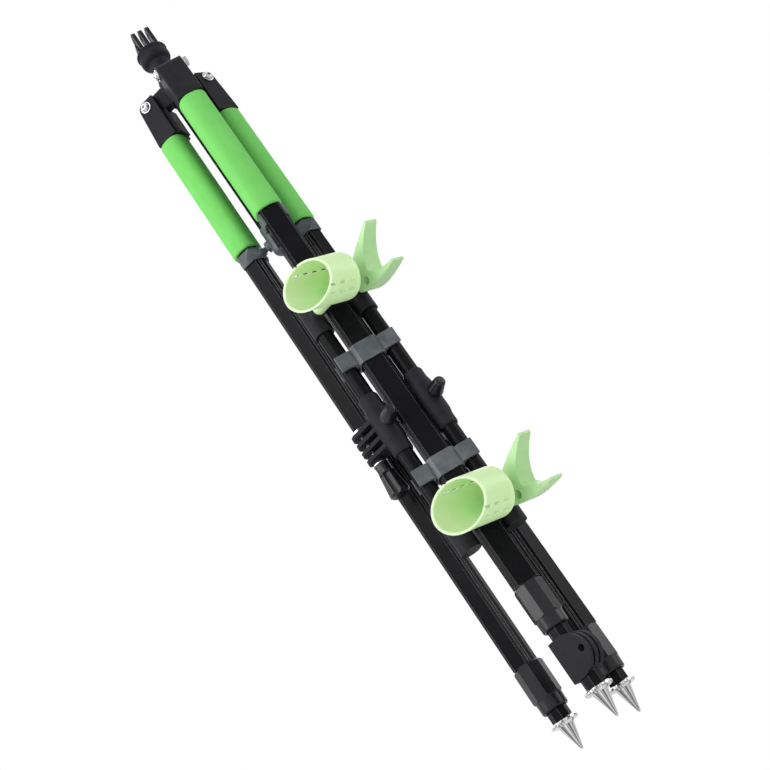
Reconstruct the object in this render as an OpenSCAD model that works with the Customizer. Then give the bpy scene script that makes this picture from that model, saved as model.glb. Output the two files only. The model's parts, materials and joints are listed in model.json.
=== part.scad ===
// Folding three-legged rod pod, standing folded with its two rest bars stowed on the front leg.
// Millimetres. The origin is the tip of the front spike, Z runs up the front leg and that leg faces -Y.

/* [Legs] */
// Distance from the column's axis to each leg's axis
leg_circle_r = 34; // [33:0.5:38]
// Height of the leg hinges above the spike tips
pivot_z = 784; // [760:1:860]
// Width of the outer leg extrusion
leg_w = 24; // [23:0.5:25]
// Depth of the outer leg extrusion
leg_d = 21; // [20.5:0.25:22]
// Width of the flat along the back of the extrusion
leg_back_flat = 8; // [7:0.5:9]
// Chamfer on the front corners of the extrusion
leg_chamfer = 2.75; // [1.5:0.25:3.5]
// Distance behind the leg's axis at which the back slants begin
leg_side_end = 5; // [4:0.25:5.5]
// Depth of the fine grooves along the back slants
groove_depth = 0.45; // [0.2:0.05:0.5]
// Width across the flats of the octagonal inner leg
inner_af = 18; // [17:0.25:18]
// Bore of the inner leg
inner_bore = 13; // [11:0.5:14]
// Length of the inner leg
inner_len = 532; // [480:1:560]

/* [Leg locks and spikes] */
// Length of a twist nut
nut_len = 44; // [40:0.5:50]
// Wall of a twist nut over its flats
nut_wall = 1.9; // [1.5:0.1:2.5]
// Length of the tapered end of a twist nut
nut_taper = 11; // [8:0.5:14]
// Length of the turned neck at the foot of an outer leg
neck_len = 19; // [16:0.5:20]
// Length of the split collet inside a nut
collet_len = 18; // [15:0.5:18]
// Length of side inner leg that shows between spike and nut
side_draw = 11; // [10.5:0.5:30]
// Length of front inner leg that shows between spike and nut
front_draw = 59; // [57:0.5:80]
// Height of a spike's cone below its flange
spike_len = 25; // [20:0.5:30]
// Diameter of a spike's flange
spike_flange_d = 26.5; // [24:0.5:28]
// Thickness of a spike's flange
spike_flange_t = 3; // [2:0.25:4]
// Diameter of a spike's cone under its flange
spike_cone_d = 16.5; // [14:0.5:18]
// Diameter of a spike's threaded shank
spike_shank_d = 8; // [6:0.5:8]

/* [Grips and collars] */
// Drop from the hinge to the top of the foam
grip_drop = 47; // [45:0.5:55]
// Length of a foam grip
foam_len = 160; // [120:1:180]
// Thickness of the foam over the corners of the leg
foam_wall = 1; // [0.8:0.1:2]
// Height of a grey leg collar
collar_h = 14; // [12:0.5:18]
// Wall of a leg collar
collar_wall = 1.6; // [1.2:0.1:2.2]
// Gap between foam and collar
collar_drop = 3; // [1:0.5:6]
// Diameter of the stud on a collar
stud_d = 6; // [5:0.25:7]

/* [Hinge brackets] */
// Side wall of a bracket over the leg
bracket_wall = 2.3; // [2:0.1:3]
// Front wall of a bracket over the leg
bracket_front_wall = 2.25; // [2:0.25:3]
// Distance from the hinge back to the inner edge of the cheeks
bracket_back = 12; // [11:0.5:12.5]
// Height of a bracket above the hinge
bracket_rise = 8; // [7.75:0.25:9]
// Radius of the round top of a bracket
bracket_nose = 9.5; // [9:0.25:10]
// Depth of leg inside a bracket
socket_depth = 12; // [9:0.5:13]
// Width of the hub's arms between the cheeks
arm_w = 11.4; // [9:0.2:12]
// Radius of the round end of an arm
arm_end_r = 6; // [5.5:0.25:6]
// Diameter of the hinge bolts
bolt_d = 6; // [5:0.25:6.5]

/* [Column and crown] */
// Diameter of the column tube
column_d = 22; // [20:0.5:24]
// Wall of the column tube
column_wall = 1.5; // [1:0.1:2]
// Length of the crown's neck
crown_neck_len = 19; // [14:0.5:24]
// Diameter of the crown's neck
crown_neck_d = 22; // [18:0.5:23]
// Greatest diameter of the crown's bulb
bulb_d = 35; // [33:0.5:37]
// Height of the crown's bulb
bulb_h = 18.5; // [16:0.5:22]
// Height of the crown's fins above its bulb
fin_h = 32.5; // [28:0.5:36]
// Spacing of the knuckle fins
fin_pitch = 8.1; // [7.8:0.1:8.6]
// Thickness of the crown's fins
fin_t = 3.7; // [3:0.1:3.8]
// Bore for a knuckle's hinge bolt
knuckle_bore = 6.4; // [6.4:0.1:6.8]

/* [Stowed bars] */
// Distance from the front leg's axis sideways to each bar's axis
bar_x = 23.5; // [23.5:0.25:26]
// Height of the bars' middle
bar_z = 326; // [320:1:340]
// Diameter of a bar
bar_d = 16; // [15:0.25:16]
// Wall of a bar
bar_wall = 1.2; // [1:0.1:1.6]
// Length of a bar
bar_len = 290; // [280:1:310]
// Direction that the rests face, turned from +X
bar_face = -65; // [-70:1:-62]
// Diameter of an end fitting
end_d = 20.5; // [19.5:0.25:21]
// Length of an end fitting
end_len = 41; // [38:0.5:46]
// Closed end of an end fitting
end_cap = 5; // [3:0.5:8]
// Height of a rest's stub above the bottom of its fitting
stub_rise = 20.5; // [18:0.5:26]
// Distance from the bar's axis to the seat of a rest
seat_reach = 13.5; // [12.5:0.25:14.5]
// Spacing of the two clip rows
clip_span = 132; // [128:1:140]
// Height of a clip row's collar
clip_collar_h = 20; // [16:0.5:22]
// Height of a clip
clip_h = 16; // [12:0.5:16]
// Wall of a clip
clip_wall = 2.6; // [2:0.1:3]

/* [Clamps] */
// Length of a clamp
clamp_len = 64; // [56:1:68]
// Wall of a clamp round its bar
clamp_wall = 1.6; // [1.4:0.1:2]
// Drop of the clamps' middle below the bars' middle
clamp_drop = 4; // [0:0.5:6]
// Direction of the left clamp's thumb knob, turned from +X
clamp_face_left = -79; // [-82:1:-68]
// Direction of the right clamp's thumb knob, turned from +X
clamp_face_right = -69; // [-74:1:-64]
// Direction of the left clamp's knuckle, turned from its thumb knob
knuckle_turn_left = 214; // [206:1:220]
// Direction of the right clamp's knuckle, turned from its thumb knob
knuckle_turn_right = 177; // [168:1:178]
// Distance from the bar's axis to a knuckle's hinge
knuckle_reach = 28; // [26:0.5:29]
// Radius of a knuckle's round end
knuckle_r = 9.8; // [8.5:0.1:10]
// Drop of a knuckle's middle below its clamp's middle
knuckle_drop = 2.5; // [0:0.5:5]
// Spacing of a clamp's fins
clamp_fin_pitch = 9; // [8:0.1:9.2]
// Height of the boss under a clamp's lowest fin
knuckle_boss = 3.5; // [2:0.5:5]
// Thickness of a clamp's fins
clamp_fin_t = 3.7; // [3:0.1:3.9]
// Length of a thumb knob
thumb_len = 17; // [15:0.5:22]
// Diameter of a thumb knob's base
thumb_d = 15; // [14:0.5:15.5]
// Diameter of a thumb knob's tip
thumb_tip_d = 11; // [9:0.5:12]
// Height of a hand knob
hand_knob_h = 34; // [28:0.5:36]
// Diameter of a hand knob over the wide end of its lobes
hand_knob_d = 20; // [18:0.2:20.4]
// Diameter of a hand knob's collar
hand_knob_collar_d = 14; // [12:0.2:15]

/* [Rod rests] */
// Outer diameter of a rod cup
cup_d = 45; // [42:0.5:47]
// Length of a rod cup from lip to closed end
cup_len = 62.5; // [56:0.5:68]
// Wall of a rod cup
cup_wall = 2; // [1.6:0.1:2.4]
// Widening of the cup at its lip
cup_flare = 0.6; // [0.4:0.1:2]
// Distance from the bar's axis to the cup's axis
cup_reach = 58; // [54:0.25:62]
// How far the outer lip stands behind the lip next to the leg
cup_rake = 30; // [20:0.5:34]
// Rounding of the cup's closed end
cup_round = 10; // [8.5:0.25:10]
// Distance from the cup's closed end to its foot
cup_foot_back = 20; // [17:0.5:26]
// Distance from the bar's axis to the tips of a fork
fork_reach = 78; // [74:1:84]
// Spread of a fork's tips to each side of its middle
fork_spread = 23.5; // [22:0.5:26]
// Width of a fork at its base
fork_base_w = 18; // [16:0.5:18.5]
// Width of a fork at its tips
fork_tip_w = 12.5; // [10:0.5:14]

/* [Foot knuckle] */
// Height of the knuckle on the front inner leg
foot_knuckle_h = 39; // [36:0.5:42]
// Height of the knuckle above the spike's flange
foot_knuckle_rise = 11; // [6:0.5:12]
// Distance from the leg's axis to the knuckle's hinge
foot_knuckle_reach = 15; // [14.8:0.1:16]

/* [Clearances] */
// Gap round sliding and turning pieces
slide_gap = 0.3; // [0.25:0.05:0.4]
// Gap round fixed pieces
slip_gap = 0.15; // [0.1:0.05:0.2]
// Radial clearance of the hinge bolts
pin_gap = 0.06; // [0.03:0.01:0.1]
// Radial clearance of the studs in the end block
stud_gap = 0.8; // [0.7:0.05:1]

/* [Hidden] */
$fn = 64;
eps = 0.01;
LEGS = ["front", "right", "left"];
SIDES = ["left", "right"];
ENDS = ["upper", "lower"];

black = "#1d1e20";
anodised = "#17181a";
grey = "#4b5055";
foam_green = "#73d05f";
cup_green = "#d2ebb9";
fork_green = "#aadca0";
chrome = "#d4d6d8";

// Octagons are set by the width across their flats, with flats facing X and Y
OCT = cos(22.5);
inner_r = inner_af / 2 / OCT;
bore_af = inner_af + 2 * slide_gap;
bore_r = bore_af / 2 / OCT;

// Heights
foot_z = spike_len + spike_flange_t;
shell_z = function(leg) foot_z + (leg == "front" ? front_draw : side_draw);
foam_top_z = pivot_z - grip_drop;
foam_low_z = foam_top_z - foam_len;
collar_top_z = foam_low_z - collar_drop;
stud_z = collar_top_z - collar_h / 2;
outer_top_z = foam_top_z + socket_depth;
stub_z = function(end) bar_z + (end == "upper" ? bar_len / 2 - end_len : -bar_len / 2) + stub_rise;
end_z = function(end) stub_z(end) - stub_rise;
clip_z = function(end) bar_z + (end == "upper" ? 1 : -1) * clip_span / 2;

// Outline of the leg extrusion, moved outwards by grow: front flat, sides, back slants and back flat
function leg_outline(grow) =
    let (half_w = leg_w / 2 + grow,
         half_d = leg_d / 2 + grow,
         run = (leg_w - leg_back_flat) / 2,
         rise = leg_d / 2 - leg_side_end,
         slant = norm([run, rise]),
         cut = leg_chamfer + grow * (2 - sqrt(2)),
         side_y = leg_side_end + grow * (slant - rise) / run,
         back_x = leg_back_flat / 2 + grow * (slant - run) / rise)
    [[half_w - cut, -half_d], [half_w, cut - half_d], [half_w, side_y], [back_x, half_d],
     [-back_x, half_d], [-half_w, side_y], [-half_w, cut - half_d], [cut - half_w, -half_d]];
foam_r = norm([leg_w / 2, leg_d / 2 - leg_chamfer]) + foam_wall;

// Twist lock
neck_r = bore_r + 0.95;
nut_bore_r = neck_r + slide_gap;
nut_r = (nut_bore_r + nut_wall) / OCT;
nut_exit_r = inner_r + 2 * slide_gap;
nut_end_r = nut_exit_r + 1.6;
nut_chamfer = 1.6;

// Bracket and hub
bracket_half_w = leg_w / 2 + bracket_wall;
bracket_front = leg_d / 2 + bracket_front_wall;
bracket_edge = 1.2;
bracket_nose_z = pivot_z + bracket_rise - bracket_nose;
bracket_lean = atan((bracket_front - bracket_nose) / (bracket_nose_z - foam_top_z));
slot_half_w = arm_w / 2 + slide_gap;
slot_floor_z = foam_top_z + 33;
pocket_r = arm_end_r + 0.6;
rib_half_w = 9;
rib_t = 4;
hub_r = column_d / 2 + 2;
hub_rise = 19;
hub_drop = 16;
hub_top_z = pivot_z + hub_rise;
hub_low_z = pivot_z - hub_drop;
column_drop = 4;
column_top_z = pivot_z - column_drop;
arm_step = 5.2;
arm_rise = 12;
arm_drop = 11;
arm_top_z = pivot_z + arm_rise;
arm_low_z = pivot_z - arm_drop;

// End block
block_r = column_d / 2 + 0.8;
block_rise = 16;
block_drop = 17;
block_top_z = stud_z + block_rise;
block_low_z = stud_z - block_drop;
boss_reach = block_r + 3;
boss_r = stud_d / 2 + stud_gap + 2.2;
stud_tip_r = 7;

// Crown
crown_low_z = hub_top_z + slide_gap;
bulb_low_z = crown_low_z + crown_neck_len;
bulb_top_z = bulb_low_z + bulb_h;
fin_top_z = bulb_top_z + fin_h;
fin_end_r = 9;
fin_shift = 1.6;
crown_hinge_z = fin_top_z - fin_end_r;
stud_thread_r = 4.76;

// Bars
clip_bore_r = bar_d / 2 + slide_gap;
clip_reach = bar_x + 7.5;
clip_half_d = clip_bore_r + clip_wall;
clip_collar_wall = 2;
clamp_r = bar_d / 2 + slide_gap + clamp_wall;
clamp_belly = 1.2;
clamp_z = bar_z - clamp_drop;
clamp_face = function(side) side == "left" ? clamp_face_left : clamp_face_right;
fin_root_w = 15;
boss_face = clamp_r + 4;
thumb_boss_r = thumb_d / 2 - 1.1;
knuckle_z = clamp_z - knuckle_drop;
knuckle_turn = function(side) side == "left" ? knuckle_turn_left : knuckle_turn_right;
knuckle_boss_r = 7;
knuckle_top_z = knuckle_z + 1.5 * clamp_fin_pitch + clamp_fin_t / 2;
knuckle_low_z = knuckle_z - 1.5 * clamp_fin_pitch - clamp_fin_t / 2 - knuckle_boss;
washer_t = 1.2;
washer_r = 6.2;
knob_top_z = knuckle_low_z - washer_t - 2 * slide_gap;
knuckle_pin_r = bolt_d / 2;
bolt_bite = 16;
peg_r = 3;
peg_len = 2.6;
screw_r = 2.5;

// Foot knuckle, turned from +X to sit on a flat of the octagon
foot_knuckle_face = -45;
knuckle_wall = 1.5;
foot_knuckle_half_w = inner_af / 2 + slip_gap + knuckle_wall;
foot_knuckle_z = foot_z + foot_knuckle_rise + foot_knuckle_h / 2;
foot_fin_t = 2 * foot_knuckle_half_w - 2 * fin_pitch;
foot_fin_r = foot_knuckle_h / 2;
foot_fin_end = foot_knuckle_reach + knuckle_bore / 2 + 2;

// Repeated shapes

module on_column() {
    translate([0, leg_circle_r, 0]) children();
}

module on_leg(leg) {
    turn = leg == "front" ? 0 : leg == "right" ? 120 : 240;
    on_column() rotate([0, 0, turn]) translate([0, -leg_circle_r, 0]) children();
}

// For a piece of the column that repeats towards each leg, drawn as for the front leg
module towards_leg(leg) {
    turn = leg == "front" ? 0 : leg == "right" ? 120 : 240;
    rotate([0, 0, turn]) children();
}

module on_bar(side) {
    translate([side == "left" ? -bar_x : bar_x, 0, 0]) children();
}

module facing_out(side) {
    on_bar(side) rotate([0, 0, bar_face]) children();
}

module clamp_out(side) {
    on_bar(side) rotate([0, 0, clamp_face(side)]) children();
}

module octagon(across, height) {
    rotate([0, 0, 22.5]) cylinder(r = across / 2 / OCT, h = height, $fn = 8);
}

module tube(outer_r, inner_r, height) {
    difference() {
        cylinder(r = outer_r, h = height);
        translate([0, 0, -1]) cylinder(r = inner_r, h = height + 2);
    }
}

// A plate drawn in Y and Z and spread along X about its middle
module spread_x(width) {
    rotate([90, 0, 90]) translate([0, 0, -width / 2]) linear_extrude(width) children();
}

// A plate drawn in X and Z and spread along Y about its middle
module spread_y(width) {
    rotate([90, 0, 0]) translate([0, 0, -width / 2]) linear_extrude(width) children();
}

module along_x(radius, low, high) {
    translate([low, 0, 0]) rotate([0, 90, 0]) cylinder(r = radius, h = high - low);
}

module along_y(radius, low, high) {
    translate([0, low, 0]) rotate([-90, 0, 0]) cylinder(r = radius, h = high - low);
}

module hex_nut(across, bore_radius, height) {
    difference() {
        cylinder(r = across / 2 / cos(30), h = height, $fn = 6);
        translate([0, 0, -1]) cylinder(r = bore_radius, h = height + 2);
    }
}

// Head and column

module hub_arm() {
    difference() {
        spread_x(arm_w) {
            translate([arm_step, arm_low_z]) square([leg_circle_r - arm_step, arm_top_z - arm_low_z]);
            translate([0, pivot_z - arm_end_r]) square([arm_step + 1, 2 * arm_end_r]);
            translate([0, pivot_z]) circle(arm_end_r);
        }
        translate([0, 0, pivot_z]) along_x(bolt_d / 2 + pin_gap, -arm_w, arm_w);
    }
}

module hub() {
    color(black) on_column() difference() {
        union() {
            translate([0, 0, hub_low_z]) cylinder(r = hub_r, h = hub_top_z - 5 - hub_low_z);
            translate([0, 0, hub_top_z - 5]) cylinder(r1 = hub_r, r2 = crown_neck_d / 2 + 0.5, h = 5);
            for (leg = LEGS) towards_leg(leg) translate([0, -leg_circle_r, 0]) hub_arm();
        }
        translate([0, 0, hub_low_z - 1])
            cylinder(r = column_d / 2 + slip_gap, h = column_top_z - hub_low_z + 1);
        translate([0, 0, column_top_z - 1])
            cylinder(r = stud_thread_r + pin_gap, h = hub_top_z - column_top_z + 2);
    }
}

module column_tube() {
    low = block_top_z;
    color(anodised) on_column() translate([0, 0, low])
        tube(column_d / 2, column_d / 2 - column_wall, column_top_z - low);
}

module column_end_block() {
    spigot_r = column_d / 2 - column_wall - slip_gap;
    dome = 5.5;
    color(grey) on_column() difference() {
        union() {
            translate([0, 0, block_low_z + dome])
                cylinder(r = block_r, h = block_top_z - block_low_z - dome);
            translate([0, 0, block_low_z + dome])
                rotate_extrude() translate([block_r - dome, 0]) circle(dome);
            translate([0, 0, block_low_z]) cylinder(r = block_r - dome, h = dome + 1);
            translate([0, 0, block_top_z - 1]) cylinder(r = spigot_r, h = 13);
            for (leg = LEGS) towards_leg(leg) translate([0, 0, stud_z]) along_y(boss_r, -boss_reach, 0);
        }
        for (leg = LEGS) towards_leg(leg) translate([0, 0, stud_z])
            along_y(stud_d / 2 + stud_gap, -boss_reach - 1, 0.8 - stud_tip_r);
    }
}

module crown_fin(height, round_end) {
    spread_x(fin_t) {
        translate([-round_end, bulb_top_z - 4]) square([2 * round_end, height + 4 - round_end]);
        translate([0, bulb_top_z + height - round_end]) circle(round_end);
    }
}

module crown() {
    bulb_r = bulb_d / 2;
    neck_r = crown_neck_d / 2;
    bulb_crest = 4;
    stop_t = 2.2;
    stop_h = 14;
    color(black) on_column() difference() {
        union() {
            translate([0, 0, crown_low_z]) cylinder(r = neck_r, h = crown_neck_len + 1);
            intersection() {
                translate([0, 0, bulb_top_z - bulb_crest]) sphere(r = bulb_r);
                translate([0, 0, bulb_low_z - bulb_h]) cylinder(r = bulb_d, h = 2 * bulb_h);
            }
            for (i = [-1:1]) translate([fin_shift + i * fin_pitch, 0, 0]) crown_fin(fin_h, fin_end_r);
            translate([fin_shift - fin_pitch - fin_t / 2 - 3.4, -fin_end_r + 2, bulb_top_z - 3])
                cube([stop_t, 2 * fin_end_r - 4, stop_h + 3]);
        }
        translate([0, 0, crown_hinge_z]) along_x(knuckle_bore / 2, -bulb_d, bulb_d);
        translate([0, 0, crown_low_z - 1]) cylinder(r = stud_thread_r + pin_gap, h = crown_neck_len - 3);
    }
}

module crown_stud() {
    low = column_top_z + 6;
    high = crown_low_z + crown_neck_len - 5;
    color(chrome) on_column() translate([0, 0, low]) cylinder(r = stud_thread_r, h = high - low);
}

// Legs

// Cheeks round the hinge over a socket for the leg, with a leaning front and a round top
module leg_bracket(leg) {
    top_z = pivot_z + bracket_rise;
    depth = bracket_front + bracket_back;
    color(black) on_leg(leg) difference() {
        union() {
            intersection() {
                spread_x(2 * bracket_half_w) {
                    polygon([[-bracket_front, foam_top_z], [-bracket_nose, bracket_nose_z],
                             [bracket_back, bracket_nose_z], [bracket_back, foam_top_z]]);
                    translate([0, bracket_nose_z]) circle(bracket_nose);
                    translate([0, bracket_nose_z - 1]) square([bracket_back, bracket_nose + 1]);
                }
                translate([0, -bracket_front, foam_top_z]) rotate([-bracket_lean, 0, 0])
                    translate([0, 0, -depth]) linear_extrude(4 * depth)
                        polygon([[bracket_edge - bracket_half_w, 0], [bracket_half_w - bracket_edge, 0],
                                 [bracket_half_w, bracket_edge], [bracket_half_w, 2 * depth],
                                 [-bracket_half_w, 2 * depth], [-bracket_half_w, bracket_edge]]);
            }
            translate([-rib_half_w, bracket_back - 1, foam_top_z])
                cube([2 * rib_half_w, rib_t + 1, slot_floor_z - foam_top_z]);
        }
        translate([0, 0, foam_top_z - 1]) linear_extrude(socket_depth + 1) polygon(leg_outline(slip_gap));
        translate([-slot_half_w, 0, slot_floor_z])
            cube([2 * slot_half_w, bracket_back + rib_t + 1, top_z - slot_floor_z + 1]);
        translate([0, 0, pivot_z]) along_x(pocket_r, -slot_half_w, slot_half_w);
        translate([0, 0, pivot_z]) along_x(bolt_d / 2 + pin_gap, -bracket_half_w - 1, bracket_half_w + 1);
    }
}

// Domed socket-head bolt through the cheeks, with a washer under its head and a washer and nut at its end
module pivot_bolt(leg) {
    pin_r = bolt_d / 2;
    seat = bracket_half_w + slide_gap;
    head_r = 5.2;
    head_h = 3.4;
    nut_h = 3.6;
    flip = leg == "left" ? 1 : 0;
    color(chrome) on_leg(leg) translate([0, 0, pivot_z]) mirror([flip, 0, 0]) {
        difference() {
            union() {
                along_x(pin_r, -seat - washer_t, seat + washer_t + nut_h + 0.5);
                intersection() {
                    along_x(head_r, -seat - washer_t - head_h, -seat - washer_t);
                    translate([head_h - seat - washer_t - 2, 0, 0]) sphere(r = head_r + 0.4);
                }
            }
            translate([-seat - washer_t - head_h - 1, 0, 0]) rotate([0, 90, 0])
                cylinder(r = 2.3, h = 3, $fn = 6);
        }
        for (x = [-seat - washer_t, seat]) translate([x, 0, 0]) rotate([0, 90, 0])
            tube(washer_r, pin_r + pin_gap, washer_t);
        translate([seat + washer_t, 0, 0]) rotate([0, 90, 0]) hex_nut(10, pin_r + pin_gap, nut_h);
    }
}

module outer_leg(leg) {
    shoulder_z = shell_z(leg) + nut_len + slide_gap;
    neck_z = shell_z(leg) + nut_len - neck_len;
    run = (leg_w - leg_back_flat) / 2;
    rise = leg_d / 2 - leg_side_end;
    color(anodised) on_leg(leg) difference() {
        union() {
            translate([0, 0, shoulder_z]) linear_extrude(outer_top_z - shoulder_z) polygon(leg_outline(0));
            intersection() {
                translate([0, 0, neck_z]) cylinder(r = neck_r, h = shoulder_z - neck_z + 1);
                translate([0, 0, neck_z]) linear_extrude(shoulder_z - neck_z + 1) polygon(leg_outline(0));
            }
        }
        translate([0, 0, neck_z - 1]) octagon(bore_af, outer_top_z - neck_z + 2);
        for (side = [-1, 1]) for (share = [0.35, 0.62])
            translate([side * (leg_w / 2 - share * run), leg_side_end + share * rise, shoulder_z - 1])
                rotate([0, 0, -side * atan(rise / run)])
                    translate([-0.4, -groove_depth, 0]) cube([0.8, 2, outer_top_z - shoulder_z + 2]);
    }
}

module foam_grip(leg) {
    color(foam_green) on_leg(leg) difference() {
        translate([0, 0, foam_low_z]) cylinder(r = foam_r, h = foam_len - slip_gap);
        translate([0, 0, foam_low_z - 1]) linear_extrude(foam_len + 2) polygon(leg_outline(slip_gap));
    }
}

module leg_collar(leg) {
    color(grey) on_leg(leg) difference() {
        union() {
            translate([0, 0, collar_top_z - collar_h]) linear_extrude(collar_h)
                polygon(leg_outline(slip_gap + collar_wall));
            translate([0, 0, stud_z]) along_y(stud_d / 2, leg_d / 2, leg_circle_r - stud_tip_r);
            translate([0, 0, stud_z]) along_y(stud_d / 2 + 1.6, leg_d / 2, leg_d / 2 + collar_wall + 2.4);
        }
        translate([0, 0, collar_top_z - collar_h - 1]) linear_extrude(collar_h + 2)
            polygon(leg_outline(slip_gap));
    }
}

module twist_nut(leg) {
    seat = nut_len - neck_len - collet_len - slide_gap;
    rim = 1.2;
    color(black) on_leg(leg) translate([0, 0, shell_z(leg)]) difference() {
        intersection() {
            octagon(2 * nut_r * OCT, nut_len);
            rotate_extrude() polygon([[0, 0], [nut_end_r, 0], [nut_end_r + 0.6, rim],
                                      [nut_r * OCT - 0.4, nut_taper], [nut_r + 0.1, nut_taper + nut_chamfer],
                                      [nut_r + 0.1, nut_len - nut_chamfer], [nut_r - nut_chamfer, nut_len],
                                      [0, nut_len]]);
        }
        translate([0, 0, seat]) cylinder(r = nut_bore_r, h = nut_len);
        translate([0, 0, -1]) cylinder(r = nut_exit_r, h = nut_len);
    }
}

module lock_collet(leg) {
    top = nut_len - neck_len;
    split = 2;
    bevel = 3;
    color(grey) on_leg(leg) translate([0, 0, shell_z(leg) + top - collet_len]) difference() {
        union() {
            cylinder(r1 = neck_r - 0.5, r2 = neck_r, h = bevel);
            translate([0, 0, bevel - eps]) cylinder(r = neck_r, h = collet_len - bevel + eps);
        }
        translate([0, 0, -1]) octagon(bore_af, collet_len + 2);
        translate([-split / 2, 0, -1]) cube([split, 2 * neck_r, collet_len + 2]);
    }
}

module inner_leg(leg) {
    color(anodised) on_leg(leg) translate([0, 0, foot_z]) difference() {
        octagon(inner_af, inner_len);
        translate([0, 0, -1]) cylinder(r = inner_bore / 2, h = inner_len + 2);
    }
}

module foot_plug(leg) {
    plug_len = 24;
    color(black) on_leg(leg) translate([0, 0, foot_z])
        tube(inner_bore / 2 - slip_gap, spike_shank_d / 2 + slip_gap, plug_len);
}

module spike(leg) {
    tip_r = 0.8;
    shank_len = 20;
    flange_r = spike_flange_d / 2;
    cone_r = spike_cone_d / 2;
    shank_r = spike_shank_d / 2;
    color(chrome) on_leg(leg) rotate_extrude()
        polygon([[0, 0], [tip_r, 0], [tip_r + 0.5, 0.9], [cone_r - 1, spike_len - 1.8],
                 [cone_r + 1, spike_len], [flange_r - 0.5, spike_len], [flange_r, spike_len + 0.5],
                 [flange_r, foot_z - 1],
                 [flange_r - 1, foot_z], [shank_r, foot_z], [shank_r, foot_z + shank_len],
                 [0, foot_z + shank_len]]);
}

// Clamp for the inner leg with three half-round fins
module foot_knuckle() {
    hinge = foot_knuckle_reach;
    gap_floor = foot_knuckle_half_w + 0.6;
    disc_x = foot_fin_end - foot_fin_r;
    gap = fin_pitch - foot_fin_t;
    color(black) on_leg("front") translate([0, 0, foot_knuckle_z])
            rotate([0, 0, foot_knuckle_face]) difference() {
        spread_y(2 * foot_knuckle_half_w) {
            translate([-foot_knuckle_half_w, -foot_fin_r])
                square([disc_x + foot_knuckle_half_w, 2 * foot_fin_r]);
            intersection() {
                translate([disc_x, 0]) circle(foot_fin_r);
                translate([disc_x, -foot_fin_r]) square([foot_fin_r, 2 * foot_fin_r]);
            }
        }
        translate([0, 0, -foot_knuckle_h]) octagon(inner_af + 2 * slip_gap, 2 * foot_knuckle_h);
        for (side = [-1, 1])
            translate([gap_floor, side * fin_pitch / 2 - gap / 2, -foot_knuckle_h])
                cube([foot_fin_end, gap, 2 * foot_knuckle_h]);
        translate([hinge, 0, 0])
            along_y(knuckle_bore / 2, -2 * foot_knuckle_half_w, 2 * foot_knuckle_half_w);
    }
}

// Bars

// Collar round the front leg with an open clip on each side for a bar
module bar_clip(end) {
    face_w = 14;
    collar_grow = slip_gap + clip_collar_wall;
    color(grey) on_leg("front") translate([0, 0, clip_z(end)]) difference() {
        union() {
            translate([0, 0, -clip_collar_h / 2])
                linear_extrude(clip_collar_h) polygon(leg_outline(collar_grow));
            for (side = [-1, 1]) translate([0, 0, -clip_h / 2]) linear_extrude(clip_h)
                polygon([[side * leg_w / 2, -clip_half_d + 2.5],
                         [side * (clip_reach - face_w), -clip_half_d],
                         [side * clip_reach, -clip_half_d], [side * clip_reach, clip_half_d],
                         [side * (clip_reach - face_w), clip_half_d], [side * leg_w / 2, leg_side_end]]);
        }
        translate([0, 0, -clip_collar_h]) linear_extrude(2 * clip_collar_h) polygon(leg_outline(slip_gap));
        for (side = [-1, 1]) translate([side * bar_x, 0, -clip_collar_h]) {
            cylinder(r = clip_bore_r, h = 2 * clip_collar_h);
            translate([side > 0 ? 0 : -leg_w, -clip_bore_r, 0])
                cube([leg_w, 2 * clip_bore_r, 2 * clip_collar_h]);
        }
    }
}

module bar_tube(side) {
    inset = end_cap;
    color(anodised) on_bar(side) translate([0, 0, bar_z - bar_len / 2 + inset])
        tube(bar_d / 2, bar_d / 2 - bar_wall, bar_len - 2 * inset);
}

// Socket over the bar's end with a side boss that carries a rest
module bar_end(side, end) {
    low = end_z(end);
    mouth_low = end == "upper" ? low - 1 : low + end_cap;
    color(black) facing_out(side) difference() {
        union() {
            translate([0, 0, low]) cylinder(r = end_d / 2, h = end_len);
            translate([0, 0, stub_z(end)]) along_x(7.2, 0, seat_reach);
        }
        translate([0, 0, mouth_low]) cylinder(r = bar_d / 2 + slip_gap, h = end_len - end_cap + 1);
        translate([0, 0, stub_z(end)])
            along_x(peg_r + slip_gap, seat_reach - peg_len - slip_gap, seat_reach + 1);
    }
}

module cup_body(radius, length, rounding, flare) {
    cylinder(r1 = radius + flare, r2 = radius, h = length * 0.3);
    cylinder(r = radius, h = length - rounding);
    cylinder(r = radius - rounding, h = length);
    translate([0, 0, length - rounding])
        rotate_extrude() translate([radius - rounding, 0]) circle(rounding);
}

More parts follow.
